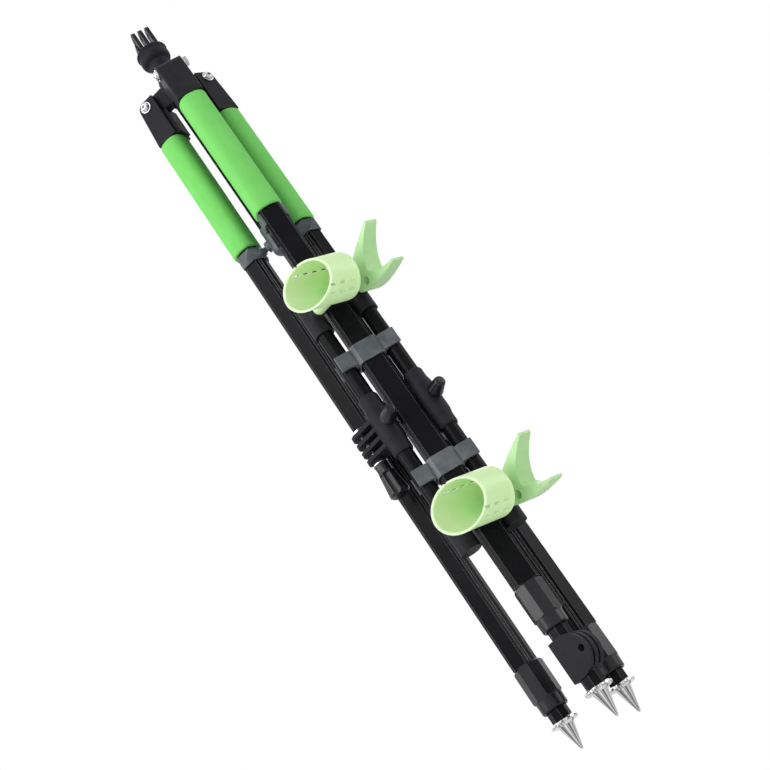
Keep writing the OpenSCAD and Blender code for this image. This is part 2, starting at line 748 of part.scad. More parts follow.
// Cup lying across its bar, with a raked mouth, rows of drain slots and a conical foot
module rod_cup(end) {
    radius = cup_d / 2;
    lip = radius + cup_flare;
    start = cup_foot_back - cup_len;
    foot_r = 11.5;
    slot_rows = [[-27, 4], [1, 4], [137, 3], [159, 3]];
    slot_inset = 1.5;
    slot_start = cup_foot_back - cup_round - slot_inset;
    slot_pitch = 10;
    slot_len = 6;
    slot_w = 2.2;
    color(cup_green) facing_out("left") translate([cup_reach, 0, stub_z(end)]) difference() {
        union() {
            translate([0, start, 0]) rotate([-90, 0, 0]) cup_body(radius, cup_len, cup_round, cup_flare);
            translate([seat_reach - cup_reach, 0, 0]) rotate([0, 90, 0])
                cylinder(r1 = 5.6, r2 = foot_r, h = cup_reach - seat_reach - radius + cup_wall + 2);
            along_x(peg_r, seat_reach - peg_len - cup_reach, seat_reach - cup_reach + 1);
        }
        translate([0, start - eps, 0]) rotate([-90, 0, 0])
            cup_body(radius - cup_wall, cup_len - cup_wall, cup_round - cup_wall, cup_flare);
        translate([0, 0, -2 * lip]) linear_extrude(4 * lip)
            polygon([[-2 * lip, start - cup_len], [2 * lip, start - cup_len],
                     [2 * lip, start + 1.5 * cup_rake], [-2 * lip, start - cup_rake / 2]]);
        for (row = slot_rows) for (i = [0:row[1] - 1])
            rotate([0, row[0], 0])
                translate([-slot_w / 2, slot_start - i * slot_pitch - slot_len, radius - cup_wall - 3])
                    cube([slot_w, slot_len, cup_wall + 8]);
    }
}

function bend(a, b, c, steps) = [for (i = [0:steps]) let (t = i / steps)
    (1 - t) * (1 - t) * a + 2 * t * (1 - t) * b + t * t * c];

// V rest: a moulded base with a cross hole that parts into two tapering prongs
module rod_fork(end) {
    crotch = [44, -5.7];
    tip_t = 2.6;
    root_half = 5.5;
    swell = 12.5;
    neck = 22;
    shoulder = 8;
    hole_r = 4;
    hole = [35, -9.4];
    low_edge = bend([seat_reach, -root_half], [seat_reach + swell, -fork_spread + 3],
                    [fork_reach, -fork_spread - tip_t / 2], 8);
    low_inner = bend([fork_reach, -fork_spread + tip_t / 2], [crotch[0] + 9, -fork_spread + 7], crotch, 8);
    high_inner = bend(crotch, [crotch[0] + 6, fork_spread - 11], [fork_reach, fork_spread - tip_t / 2], 8);
    high_edge = bend([fork_reach, fork_spread + tip_t / 2], [seat_reach + swell, fork_spread - 6],
                     [seat_reach, root_half], 8);
    color(fork_green) facing_out("right") translate([0, 0, stub_z(end)]) difference() {
        union() {
            intersection() {
                spread_y(fork_base_w)
                    polygon(concat(low_edge, low_inner, [for (i = [1:8]) high_inner[i]], high_edge));
                translate([0, 0, -2 * fork_spread]) linear_extrude(4 * fork_spread)
                    polygon([[seat_reach, -root_half], [seat_reach + shoulder, -fork_base_w / 2],
                             [seat_reach + neck, -fork_base_w / 2], [fork_reach, -fork_tip_w / 2],
                             [fork_reach, fork_tip_w / 2], [seat_reach + neck, fork_base_w / 2],
                             [seat_reach + shoulder, fork_base_w / 2], [seat_reach, root_half]]);
            }
            along_x(peg_r, seat_reach - peg_len, seat_reach + 1);
        }
        translate([hole[0], 0, hole[1]]) along_y(hole_r, -fork_base_w, fork_base_w);
    }
}

// Clamps

module bar_clamp(side) {
    low = clamp_z - clamp_len / 2;
    half_len = clamp_len / 2;
    bevel = 2;
    bevel_in = 0.8;
    belly_half = clamp_len / 4;
    belly_r = clamp_r + clamp_belly;
    shoulder = 6;
    color(black) clamp_out(side) difference() {
        union() {
            translate([0, 0, clamp_z]) rotate_extrude()
                polygon([[0, -half_len], [clamp_r - bevel_in, -half_len], [clamp_r, bevel - half_len],
                         [clamp_r, -belly_half - shoulder], [belly_r, -belly_half], [belly_r, belly_half],
                         [clamp_r, belly_half + shoulder], [clamp_r, half_len - bevel],
                         [clamp_r - bevel_in, half_len], [0, half_len]]);
            translate([0, 0, clamp_z]) along_x(thumb_boss_r, 0, boss_face);
            rotate([0, 0, knuckle_turn(side)]) {
                for (i = [-1.5:1.5]) translate([0, 0, knuckle_z + i * clamp_fin_pitch - clamp_fin_t / 2]) {
                    linear_extrude(clamp_fin_t)
                        polygon([[0, -fin_root_w / 2], [knuckle_reach, -knuckle_r], [knuckle_reach, knuckle_r],
                                 [0, fin_root_w / 2]]);
                    translate([knuckle_reach, 0, 0]) cylinder(r = knuckle_r, h = clamp_fin_t);
                }
                translate([knuckle_reach, 0, knuckle_low_z]) cylinder(r = knuckle_boss_r, h = knuckle_boss + 1);
            }
        }
        translate([0, 0, low - 1]) cylinder(r = bar_d / 2 + slide_gap, h = clamp_len + 2);
        translate([0, 0, clamp_z]) along_x(screw_r + slide_gap, 0, 2 * boss_face);
        rotate([0, 0, knuckle_turn(side)]) translate([knuckle_reach, 0, low])
            cylinder(r = knuckle_bore / 2, h = clamp_len);
    }
}

// Tapered knob with a domed tip, on the screw that grips the bar
module thumb_knob(side) {
    base = boss_face + slide_gap;
    tip_r = thumb_tip_d / 2;
    tip = base + thumb_len;
    rim = 3;
    dome = 3;
    color(black) clamp_out(side) translate([0, 0, clamp_z]) rotate([0, 90, 0]) rotate_extrude() {
        polygon([[0, bar_d / 2 + slide_gap], [screw_r, bar_d / 2 + slide_gap], [screw_r, base],
                 [thumb_d / 2, base], [thumb_d / 2, base + rim], [tip_r, tip - dome], [tip_r - dome, tip],
                 [0, tip]]);
        translate([tip_r - dome, tip - dome]) intersection() {
            circle(dome);
            square(dome);
        }
    }
}

module knuckle_bolt(side) {
    head_h = 4;
    washer_low = knuckle_low_z - slide_gap - washer_t;
    end = knob_top_z - bolt_bite;
    color(chrome) clamp_out(side) rotate([0, 0, knuckle_turn(side)]) translate([knuckle_reach, 0, 0]) {
        union() {
            translate([0, 0, end]) cylinder(r = knuckle_pin_r, h = knuckle_top_z + slip_gap - end + 1);
            translate([0, 0, knuckle_top_z + slip_gap]) cylinder(r = 5 / cos(30), h = head_h, $fn = 6);
        }
        translate([0, 0, washer_low]) tube(washer_r + 1.4, knuckle_pin_r + pin_gap, washer_t);
    }
}

// Lobed nut that tightens the knuckle: a fluted grip that widens from its collar to its end
module hand_knob(side) {
    flutes = 6;
    flute_r = 4.6;
    flute_bite = 2.2;
    collar = 5;
    rim = 2;
    grip_h = hand_knob_h - collar - rim;
    end_r = hand_knob_d / 2;
    collar_r = hand_knob_collar_d / 2;
    lean = atan((end_r - collar_r) / grip_h);
    low = knob_top_z - hand_knob_h;
    color(black) clamp_out(side) rotate([0, 0, knuckle_turn(side)])
            translate([knuckle_reach, 0, 0]) difference() {
        translate([0, 0, low]) rotate_extrude()
            polygon([[0, 0], [end_r - rim, 0], [end_r, rim], [collar_r, rim + grip_h],
                     [collar_r, hand_knob_h], [0, hand_knob_h]]);
        for (i = [0:flutes - 1]) rotate([0, 0, i * 360 / flutes])
            translate([end_r + flute_r - flute_bite, 0, low + rim]) rotate([0, -lean, 0])
                translate([0, 0, -2 * rim - 4]) cylinder(r = flute_r, h = grip_h + rim + 2);
        translate([0, 0, knob_top_z - bolt_bite - 2]) cylinder(r = knuckle_pin_r + pin_gap, h = bolt_bite + 3);
    }
}

hub();
column_tube();
column_end_block();
crown();
crown_stud();
foot_knuckle();
for (leg = LEGS) {
    leg_bracket(leg);
    pivot_bolt(leg);
    outer_leg(leg);
    foam_grip(leg);
    leg_collar(leg);
    twist_nut(leg);
    lock_collet(leg);
    inner_leg(leg);
    foot_plug(leg);
    spike(leg);
}
for (end = ENDS) {
    bar_clip(end);
    rod_cup(end);
    rod_fork(end);
}
for (side = SIDES) {
    bar_tube(side);
    bar_clamp(side);
    thumb_knob(side);
    knuckle_bolt(side);
    hand_knob(side);
    for (end = ENDS) bar_end(side, end);
}
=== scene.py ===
# %% [markdown]
# # A folded rod pod
#
# This lesson dresses a rod pod that was drawn as solids: three telescopic legs round a short column, two
# stowed bars with cups and V rests, clips, clamps and spikes. The solids already have the right shape and
# place, so most of the work here is light, camera and finishes. The three foam grips are soft, so they are
# modelled again as meshes. The grey collars under them are opened at the front, as the real ones are, and the
# crown gets its drum.

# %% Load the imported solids
import json
import math

import bmesh
import bpy
from mathutils import Matrix, Vector, noise


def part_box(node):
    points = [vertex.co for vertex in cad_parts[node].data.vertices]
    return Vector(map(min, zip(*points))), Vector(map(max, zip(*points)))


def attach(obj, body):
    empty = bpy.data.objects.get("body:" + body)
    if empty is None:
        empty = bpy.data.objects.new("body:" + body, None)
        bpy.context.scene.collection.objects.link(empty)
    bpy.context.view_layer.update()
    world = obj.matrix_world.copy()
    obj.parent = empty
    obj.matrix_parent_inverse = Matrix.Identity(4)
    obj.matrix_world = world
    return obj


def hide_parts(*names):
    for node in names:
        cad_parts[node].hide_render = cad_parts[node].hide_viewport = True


MM = 0.001
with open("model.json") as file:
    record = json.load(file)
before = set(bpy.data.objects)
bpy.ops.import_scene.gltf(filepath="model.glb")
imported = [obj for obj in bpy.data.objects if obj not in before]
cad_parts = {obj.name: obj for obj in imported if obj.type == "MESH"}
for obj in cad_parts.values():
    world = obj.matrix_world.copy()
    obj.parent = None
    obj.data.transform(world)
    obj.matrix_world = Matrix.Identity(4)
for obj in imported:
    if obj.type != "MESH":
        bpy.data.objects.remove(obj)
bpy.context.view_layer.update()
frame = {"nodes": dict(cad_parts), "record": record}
nodes = frame["nodes"]
scene = bpy.context.scene
LEGS = ("front", "right", "left")

# %% [markdown]
# ## Camera
#
# The pod was photographed lying diagonally across the picture, with its feet nearer to the lens than its
# head. Our pod stands upright, so the camera goes below the feet, looks up along the legs and is rolled until
# the legs lie on the same diagonal. A long lens keeps the legs nearly parallel.

# %% Camera
IMAGE_PX = 770
FOCAL_PX = 1440
SENSOR_MM = 36
VIEW_TURN = math.radians(12.5)
VIEW_RISE = math.radians(23.3)
VIEW_ROLL = math.radians(34.6)
VIEW_DISTANCE = 1.346
AXIS_SHIFT = 0.0043
LOOK_HEIGHT = 0.3715
NEAR_CLIP = 0.01

column_low, column_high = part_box("column_tube")
column_axis = (column_low + column_high) / 2
look_at = Vector((column_axis.x, column_axis.y, LOOK_HEIGHT))

forward = Vector((math.sin(VIEW_TURN) * math.cos(VIEW_RISE),
                  math.cos(VIEW_TURN) * math.cos(VIEW_RISE),
                  math.sin(VIEW_RISE)))
sideways = Vector((math.cos(VIEW_TURN), -math.sin(VIEW_TURN), 0))
legward = forward.cross(sideways)
image_right = math.sin(VIEW_ROLL) * legward + math.cos(VIEW_ROLL) * sideways
image_up = math.sin(VIEW_ROLL) * sideways - math.cos(VIEW_ROLL) * legward

camera_data = bpy.data.cameras.new("camera")
camera_data.sensor_width = SENSOR_MM
camera_data.lens = FOCAL_PX / IMAGE_PX * SENSOR_MM
camera_data.clip_start = NEAR_CLIP
camera = bpy.data.objects.new("camera", camera_data)
scene.collection.objects.link(camera)
eye = look_at - VIEW_DISTANCE * forward + AXIS_SHIFT * sideways
turn = Matrix((image_right, image_up, -forward)).transposed().to_4x4()
camera.matrix_world = Matrix.Translation(eye) @ turn
scene.camera = camera
print("camera at", [round(v, 3) for v in eye], "lens", round(camera_data.lens, 1))

# %% [markdown]
# ## Two small helpers
#
# Node trees are built in code here, so two short functions keep that readable: one adds a node and fills its
# inputs, the other links two sockets.

# %% Helpers for node trees


def put(tree, kind, values=None, **settings):
    """Adds a node, sets its properties and its unlinked inputs."""
    node = tree.nodes.new(kind)
    for key, value in settings.items():
        setattr(node, key, value)
    for key, value in (values or {}).items():
        node.inputs[key].default_value = value
    return node


def join(tree, source, target):
    """Links an output socket to an input socket."""
    tree.links.new(source, target)


# %% [markdown]
# ## Light, floor and background
#
# A catalogue picture has soft light from large white panels and a white ground. Four area lamps give that
# light. The world is white for the camera and for reflections, and weaker where it only lights the object, so
# the ground is white but the colours do not wash out. The floor lies under the spikes and keeps their shadow.
# For the camera it is partly see-through, so that it stays pale far from the lamps, and a leg that is drawn out
# below it still shows. The camera looks from below the floor, so its underside is see-through altogether.

# %% World
scene.view_settings.view_transform = "Standard"
WORLD_LIGHT = 0.5

world = bpy.data.worlds.new("studio")
scene.world = world
world.use_nodes = True
sky = world.node_tree
sky.nodes.clear()
sky_out = put(sky, "ShaderNodeOutputWorld")
white = put(sky, "ShaderNodeBackground", {"Color": (1, 1, 1, 1)})
ray = put(sky, "ShaderNodeLightPath")
camera_or_glossy = put(sky, "ShaderNodeMath", operation="MAXIMUM")
sees_white = put(sky, "ShaderNodeMath", operation="MAXIMUM")
strength = put(sky, "ShaderNodeMapRange", {"To Min": WORLD_LIGHT, "To Max": 1.0})
join(sky, ray.outputs["Is Camera Ray"], camera_or_glossy.inputs[0])
join(sky, ray.outputs["Is Glossy Ray"], camera_or_glossy.inputs[1])
join(sky, camera_or_glossy.outputs[0], sees_white.inputs[0])
join(sky, ray.outputs["Is Transmission Ray"], sees_white.inputs[1])
join(sky, sees_white.outputs[0], strength.inputs["Value"])
join(sky, strength.outputs[0], white.inputs["Strength"])
join(sky, white.outputs[0], sky_out.inputs["Surface"])
print("the world lights the pod with", WORLD_LIGHT, "of the white that the camera sees")

# %% Lamps


def panel_lamp(name, place, aim, size, watts):
    """A square white panel that shines from place towards aim."""
    data = bpy.data.lights.new(name, "AREA")
    data.shape = "SQUARE"
    data.size = size
    data.energy = watts
    lamp = bpy.data.objects.new(name, data)
    lamp.location = place
    lamp.rotation_euler = (Vector(aim) - Vector(place)).to_track_quat("-Z", "Y").to_euler()
    scene.collection.objects.link(lamp)
    return lamp


middle = Vector((0, 0, 0.45))
lamps = [panel_lamp("front_panel", (-1.1, -1.3, 1.3), middle, size=1.1, watts=14),
         panel_lamp("left_panel", (-1.7, -0.3, 0.8), middle, size=0.9, watts=13),
         panel_lamp("right_panel", (1.6, -0.5, 0.7), middle, size=0.8, watts=7),
         panel_lamp("back_panel", (0.2, 1.6, 1.4), middle, size=1.4, watts=11)]
print("lamps:", [lamp.name for lamp in lamps])

# %% Floor
FLOOR_SIZE = 8
FLOOR_CLEAR = 0.7
FLOOR_GREY = (0.86, 0.86, 0.86, 1)
floor_mesh = bpy.data.meshes.new("floor")
half = FLOOR_SIZE / 2
corners = [(-half, -half, 0), (half, -half, 0), (half, half, 0), (-half, half, 0)]
floor_mesh.from_pydata(corners, [], [(0, 1, 2, 3)])
floor = bpy.data.objects.new("floor", floor_mesh)
scene.collection.objects.link(floor)

floor_paint = bpy.data.materials.new("floor_paint")
floor_paint.use_nodes = True
ft = floor_paint.node_tree
ft.nodes.clear()
floor_out = put(ft, "ShaderNodeOutputMaterial")
pale = put(ft, "ShaderNodeBsdfDiffuse", {"Color": FLOOR_GREY})
clear = put(ft, "ShaderNodeBsdfTransparent")
facing = put(ft, "ShaderNodeNewGeometry")
floor_ray = put(ft, "ShaderNodeLightPath")
clear_share = put(ft, "ShaderNodeMapRange", {"To Max": FLOOR_CLEAR})
painted = put(ft, "ShaderNodeMixShader")
under_or_over = put(ft, "ShaderNodeMixShader")
join(ft, floor_ray.outputs["Is Camera Ray"], clear_share.inputs["Value"])
join(ft, clear_share.outputs[0], painted.inputs["Fac"])
join(ft, pale.outputs[0], painted.inputs[1])
join(ft, clear.outputs[0], painted.inputs[2])
join(ft, facing.outputs["Backfacing"], under_or_over.inputs["Fac"])
join(ft, painted.outputs[0], under_or_over.inputs[1])
join(ft, clear.outputs[0], under_or_over.inputs[2])
join(ft, under_or_over.outputs[0], floor_out.inputs["Surface"])
floor_mesh.materials.append(floor_paint)
print("floor", FLOOR_SIZE, "m wide")

# %% [markdown]
# ## Shared effects as node groups
#
# Several finishes need the same things: a fine moulded grain or long drawing lines, a lighter tone on edges that
# is partly rubbed wear and partly a painted highlight, painted reflections on the metals, and a little
# unevenness of colour. Each is a node group with its own inputs, built once and placed in every material that
# needs it.

# %% A new node group


def new_group(name, inputs, outputs):
    """An empty shader node group. inputs are (name, socket type, default) rows, outputs (name, type) rows."""
    group = bpy.data.node_groups.new(name, "ShaderNodeTree")
    for row in inputs:
        socket = group.interface.new_socket(row[0], in_out="INPUT", socket_type=row[1])
        socket.default_value = row[2]
    for row in outputs:
        group.interface.new_socket(row[0], in_out="OUTPUT", socket_type=row[1])
    return group, group.nodes.new("NodeGroupInput"), group.nodes.new("NodeGroupOutput")


FLOAT, VECTOR = "NodeSocketFloat", "NodeSocketVector"

# %% Grain: the fine pebbled skin of a moulding, or drawing lines where it is stretched
grain_group, grain_in, grain_out = new_group(
    "moulded_grain",
    [("Scale", FLOAT, 2500.0), ("Stretch", VECTOR, (1.0, 1.0, 1.0))],
    [("Height", FLOAT), ("Patch", FLOAT)])
gt = grain_group
grain_place = put(gt, "ShaderNodeTexCoord")
stretched = put(gt, "ShaderNodeVectorMath", operation="MULTIPLY")
pebbles = put(gt, "ShaderNodeTexNoise", {"Detail": 3.0, "Roughness": 0.6})
patches = put(gt, "ShaderNodeTexNoise", {"Scale": 60.0, "Detail": 4.0})
join(gt, grain_place.outputs["Object"], stretched.inputs[0])
join(gt, grain_in.outputs["Stretch"], stretched.inputs[1])
join(gt, stretched.outputs[0], pebbles.inputs["Vector"])
join(gt, grain_in.outputs["Scale"], pebbles.inputs["Scale"])
join(gt, grain_place.outputs["Object"], patches.inputs["Vector"])
join(gt, pebbles.outputs["Fac"], grain_out.inputs["Height"])
join(gt, patches.outputs["Fac"], grain_out.inputs["Patch"])

# %% Turned metal: painted reflections, light and dark streaks that run to the tip of a cone, because they follow its normal
reflection_streak_group, reflection_streak_in, reflection_streak_out = new_group("painted_reflection_streaks", [("Scale", FLOAT, 4.0)], [("Streak", FLOAT)])
tg = reflection_streak_group
turned_normal = put(tg, "ShaderNodeTexCoord")
reflection_streaks = put(tg, "ShaderNodeTexNoise", {"Detail": 2.0, "Roughness": 0.7})
reflection_streak_steps = put(tg, "ShaderNodeMapRange", {"From Min": 0.36, "From Max": 0.58},
                   interpolation_type="SMOOTHSTEP")
join(tg, turned_normal.outputs["Normal"], reflection_streaks.inputs["Vector"])
join(tg, reflection_streak_in.outputs["Scale"], reflection_streaks.inputs["Scale"])
join(tg, reflection_streaks.outputs["Fac"], reflection_streak_steps.inputs["Value"])
join(tg, reflection_streak_steps.outputs[0], reflection_streak_out.inputs["Streak"])

# %% Edge wear and painted highlight: a lighter tone where an edge has been rubbed, which also paints the thin highlight along edges, and the normal of an edge that is slightly round
wear_and_highlight_group, wear_and_highlight_in, wear_and_highlight_out = new_group(
    "edge_wear_and_highlight",
    [("Radius", FLOAT, 0.0006), ("Amount", FLOAT, 0.5), ("Evenness", FLOAT, 0.2)],
    [("Mask", FLOAT), ("Normal", VECTOR)])
wg = wear_and_highlight_group
rounded = put(wg, "ShaderNodeBevel", samples=6)
surface = put(wg, "ShaderNodeNewGeometry")
agree = put(wg, "ShaderNodeVectorMath", operation="DOT_PRODUCT")
edge = put(wg, "ShaderNodeMapRange", {"From Min": 0.985, "From Max": 0.86})
edge_patch_place = put(wg, "ShaderNodeTexCoord")
edge_patches = put(wg, "ShaderNodeTexNoise", {"Scale": 180.0, "Detail": 5.0})
edge_patch_steps = put(wg, "ShaderNodeMapRange", {"From Min": 0.42, "From Max": 0.66})
# A lighter tone on edges, partly rubbed wear and partly a painted highlight along the edge.
rubbed_and_highlit = put(wg, "ShaderNodeMath", operation="MULTIPLY")
scaled = put(wg, "ShaderNodeMath", operation="MULTIPLY", use_clamp=True)
join(wg, wear_and_highlight_in.outputs["Radius"], rounded.inputs["Radius"])
join(wg, rounded.outputs[0], agree.inputs[0])
join(wg, surface.outputs["Normal"], agree.inputs[1])
join(wg, agree.outputs["Value"], edge.inputs["Value"])
join(wg, edge_patch_place.outputs["Object"], edge_patches.inputs["Vector"])
join(wg, edge_patches.outputs["Fac"], edge_patch_steps.inputs["Value"])
join(wg, wear_and_highlight_in.outputs["Evenness"], edge_patch_steps.inputs["To Min"])
join(wg, edge.outputs[0], rubbed_and_highlit.inputs[0])
join(wg, edge_patch_steps.outputs[0], rubbed_and_highlit.inputs[1])
join(wg, rubbed_and_highlit.outputs[0], scaled.inputs[0])
join(wg, wear_and_highlight_in.outputs["Amount"], scaled.inputs[1])
join(wg, scaled.outputs[0], wear_and_highlight_out.inputs["Mask"])
join(wg, rounded.outputs[0], wear_and_highlight_out.inputs["Normal"])
print("node groups:", [g.name for g in bpy.data.node_groups])

# %% [markdown]
# ## Finishes
#
# Every finish is a Principled shader. Its colour drifts a little between two tones, its roughness follows the
# same drift, and its bump comes from the grain group at the size that the real surface has. On the metals the
# tones follow painted reflections instead. Edges are softened by a rounded normal, and they show a lighter tone
# that is partly rubbed wear and partly a painted highlight.

# %% One recipe for all the finishes
# A Mix node has number, vector and colour sockets of the same names, so the colour ones go by their place
MIX_FACTOR, MIX_FIRST, MIX_SECOND, MIX_RESULT = 0, 6, 7, 2


def finish(name, tones, rough, grain, edge_radius=0.5 * MM, wear_and_highlight=None, reflection_streak_scale=None, **shader_values):
    """A Principled material. tones and rough are (low, high), grain is (scale, depth, stretch) and
    the edge tone tuple is (tone, amount, evenness): a lighter tone on edges, partly rubbed wear and partly a
    painted highlight. With a streak scale the tones follow streaks that are painted reflections."""
    material = bpy.data.materials.new(name)
    material.use_nodes = True
    tree = material.node_tree
    shader = tree.nodes["Principled BSDF"]
    for key, value in shader_values.items():
        shader.inputs[key.replace("_", " ")].default_value = value
    scale, depth, stretch = grain
    skin = put(tree, "ShaderNodeGroup", {"Scale": scale, "Stretch": stretch}, node_tree=grain_group)
    edges = put(tree, "ShaderNodeGroup", {"Radius": edge_radius}, node_tree=wear_and_highlight_group)
    colour = put(tree, "ShaderNodeMix", {MIX_FIRST: (*tones[0], 1), MIX_SECOND: (*tones[1], 1)},
                 data_type="RGBA")
    if reflection_streak_scale:
        # Painted reflections: the tones follow streaks set by the surface normal.
        turned = put(tree, "ShaderNodeGroup", {"Scale": reflection_streak_scale}, node_tree=reflection_streak_group)
        join(tree, turned.outputs["Streak"], colour.inputs[MIX_FACTOR])
    else:
        drift = put(tree, "ShaderNodeMapRange", {"From Min": 0.3, "From Max": 0.7})
        join(tree, skin.outputs["Patch"], drift.inputs["Value"])
        join(tree, drift.outputs[0], colour.inputs[MIX_FACTOR])
    if wear_and_highlight:
        tone, amount, evenness = wear_and_highlight
        edges.inputs["Amount"].default_value = amount
        edges.inputs["Evenness"].default_value = evenness
        # Lighter edges: partly rubbed wear, partly a painted highlight.
        worn_and_highlit = put(tree, "ShaderNodeMix", {MIX_SECOND: (*tone, 1)}, data_type="RGBA")
        join(tree, colour.outputs[MIX_RESULT], worn_and_highlit.inputs[MIX_FIRST])
        join(tree, edges.outputs["Mask"], worn_and_highlit.inputs[MIX_FACTOR])
        colour = worn_and_highlit
    join(tree, colour.outputs[MIX_RESULT], shader.inputs["Base Color"])
    roughness = put(tree, "ShaderNodeMapRange", {"To Min": rough[0], "To Max": rough[1]})
    join(tree, skin.outputs["Patch"], roughness.inputs["Value"])
    join(tree, roughness.outputs[0], shader.inputs["Roughness"])
    bump = put(tree, "ShaderNodeBump", {"Strength": 1.0, "Distance": depth})
    join(tree, skin.outputs["Height"], bump.inputs["Height"])
    join(tree, edges.outputs["Normal"], bump.inputs["Normal"])
    join(tree, bump.outputs[0], shader.inputs["Normal"])
    return material


EVEN = (1, 1, 1)
LENGTHWAYS = (1, 1, 0.02)
TURNED = (1, 1, 8)

# The lighter edge tones in these finishes are partly rubbed wear and partly painted highlights along the edges.
matte_black = finish("matte_black_moulding", ((0.013, 0.013, 0.016), (0.020, 0.020, 0.024)), (0.42, 0.60),
                     (2600, 0.06 * MM, EVEN), wear_and_highlight=((0.10, 0.10, 0.105), 0.7, 0.4), Specular_IOR_Level=0.1)
satin_black = finish("satin_black_moulding", ((0.006, 0.006, 0.008), (0.011, 0.011, 0.014)), (0.20, 0.32),
                     (1100, 0.05 * MM, LENGTHWAYS), wear_and_highlight=((0.12, 0.12, 0.125), 0.8, 0.5), Specular_IOR_Level=0.3)
anodised = finish("black_anodised", ((0.0045, 0.0045, 0.0055), (0.0070, 0.0070, 0.0085)), (0.22, 0.34),
                  (3500, 0.012 * MM, LENGTHWAYS), 0.8 * MM, wear_and_highlight=((0.30, 0.30, 0.31), 0.9, 0.75),
                  Specular_IOR_Level=0.06)
grey = finish("grey_moulding", ((0.050, 0.060, 0.068), (0.130, 0.145, 0.158)), (0.26, 0.50),
              (1800, 0.08 * MM, EVEN), wear_and_highlight=((0.36, 0.38, 0.39), 0.8, 0.4), Specular_IOR_Level=0.3)
foam = finish("green_foam", ((0.172, 0.595, 0.122), (0.190, 0.635, 0.138)), (0.72, 0.86),
              (2200, 0.16 * MM, EVEN), Specular_IOR_Level=0.3)
cup_plastic = finish("pale_green_plastic", ((0.61, 0.85, 0.46), (0.65, 0.88, 0.50)), (0.32, 0.44),
                     (900, 0.02 * MM, EVEN), Subsurface_Weight=0.8, Subsurface_Scale=5 * MM,
                     Subsurface_Radius=(1.0, 1.0, 0.8))
fork_rubber = finish("green_rubber", ((0.46, 0.74, 0.36), (0.52, 0.79, 0.40)), (0.42, 0.56),
                     (900, 0.04 * MM, EVEN), 1.2 * MM, Subsurface_Weight=0.3, Subsurface_Scale=3 * MM,
                     Subsurface_Radius=(0.8, 1.0, 0.6))
# The metals' tones are painted reflections: light and dark streaks set by the surface normal.
zinc = finish("zinc_plate", ((0.30, 0.30, 0.31), (0.70, 0.70, 0.71)), (0.18, 0.32),
              (1500, 0.02 * MM, EVEN), reflection_streak_scale=2.5, Metallic=1.0)
chromed = finish("chromed_point", ((0.20, 0.20, 0.21), (0.93, 0.93, 0.94)), (0.08, 0.18),
                 (1200, 0.01 * MM, TURNED), reflection_streak_scale=4.5, Metallic=1.0)

# %% Give each solid its finish
slot_finish = {"moulding": matte_black, "extrusion": anodised, "grey_moulding": grey, "fastener": zinc,
               "spike": chromed, "foam": foam, "cup": cup_plastic, "fork": fork_rubber}
SATIN_PIECES = ("twist_nut", "thumb_knob", "hand_knob")
for part in frame["record"]["subparts"]:
    material = slot_finish[part["material_slot"]]
    if part["node"].startswith(SATIN_PIECES) and material is matte_black:
        material = satin_black
    solid = nodes[part["node"]]
    solid.data.materials.clear()
    solid.data.materials.append(material)
print("finishes:", sorted(m.name for m in bpy.data.materials))

# %% [markdown]
# ## The frame of one leg
#
# The three legs are one design, turned round the column. What follows is drawn for a leg that stands at the
# origin and faces the front, so this step finds where each leg stands and how far it is turned.

# %% Where each leg stands
leg_low, leg_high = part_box("outer_leg_front")
leg_half = (leg_high - leg_low) / 2


def leg_place(leg):
    """Matrix that takes a leg drawn at the origin, facing -Y, to its place beside the column."""
    low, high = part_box(f"outer_leg_{leg}")
    axis = (low + high) / 2
    outward = axis - column_axis
    turned = math.atan2(outward.y, outward.x) + math.pi / 2
    return Matrix.Translation((axis.x, axis.y, 0)) @ Matrix.Rotation(turned, 4, "Z")


for leg in LEGS:
    print(leg, "leg at", [round(v, 4) for v in leg_place(leg).translation])

# %% [markdown]
# ## From mesh code to a piece
#
# The pieces that follow are drawn with bmesh, which edits a mesh point by point. A finished drawing always goes
# the same way: its faces are turned outwards, it becomes a mesh with its finish, and it is put in the scene.

# %% From mesh code to a piece


def as_piece(mesh, name, material):
    """Turns a drawn mesh into an object of one finish and puts it in the scene."""
    bmesh.ops.recalc_face_normals(mesh, faces=mesh.faces)
    data = bpy.data.meshes.new(name)
    mesh.to_mesh(data)
    mesh.free()
    data.materials.append(material)
    piece = bpy.data.objects.new(name, data)
    scene.collection.objects.link(piece)
    return piece


# %% [markdown]
# ## Foam grips
#
# Each grip is a sleeve of closed-cell foam, pulled over the extrusion. It takes on a little of the leg's
# flats, so its outline is between a circle and a rounded square, and its cut ends are soft and stand a little
# off the metal. A stack of rings makes it: every ring is one outline, the outer rings roll in at both ends,
# and the inner rings close the hole.

# %% Foam grips
FOAM_AROUND = 96
FOAM_ALONG = 60
END_ROLL = 2.4 * MM
ROLL_STEPS = 8
SQUARENESS = 2.5
FRONT_FLAT = 0.9 * MM
LIP_GAP = 1.6 * MM
LIP_DEPTH = 5 * MM
LIP_WALL = 0.4 * MM
UNEVEN = 0.15 * MM
WAVES_AROUND = 3
WAVES_ALONG = 60
NEARLY_NONE = 0.01
angles = [2 * math.pi * k / FOAM_AROUND for k in range(FOAM_AROUND)]
SPOKES = [(math.cos(angle), math.sin(angle)) for angle in angles]


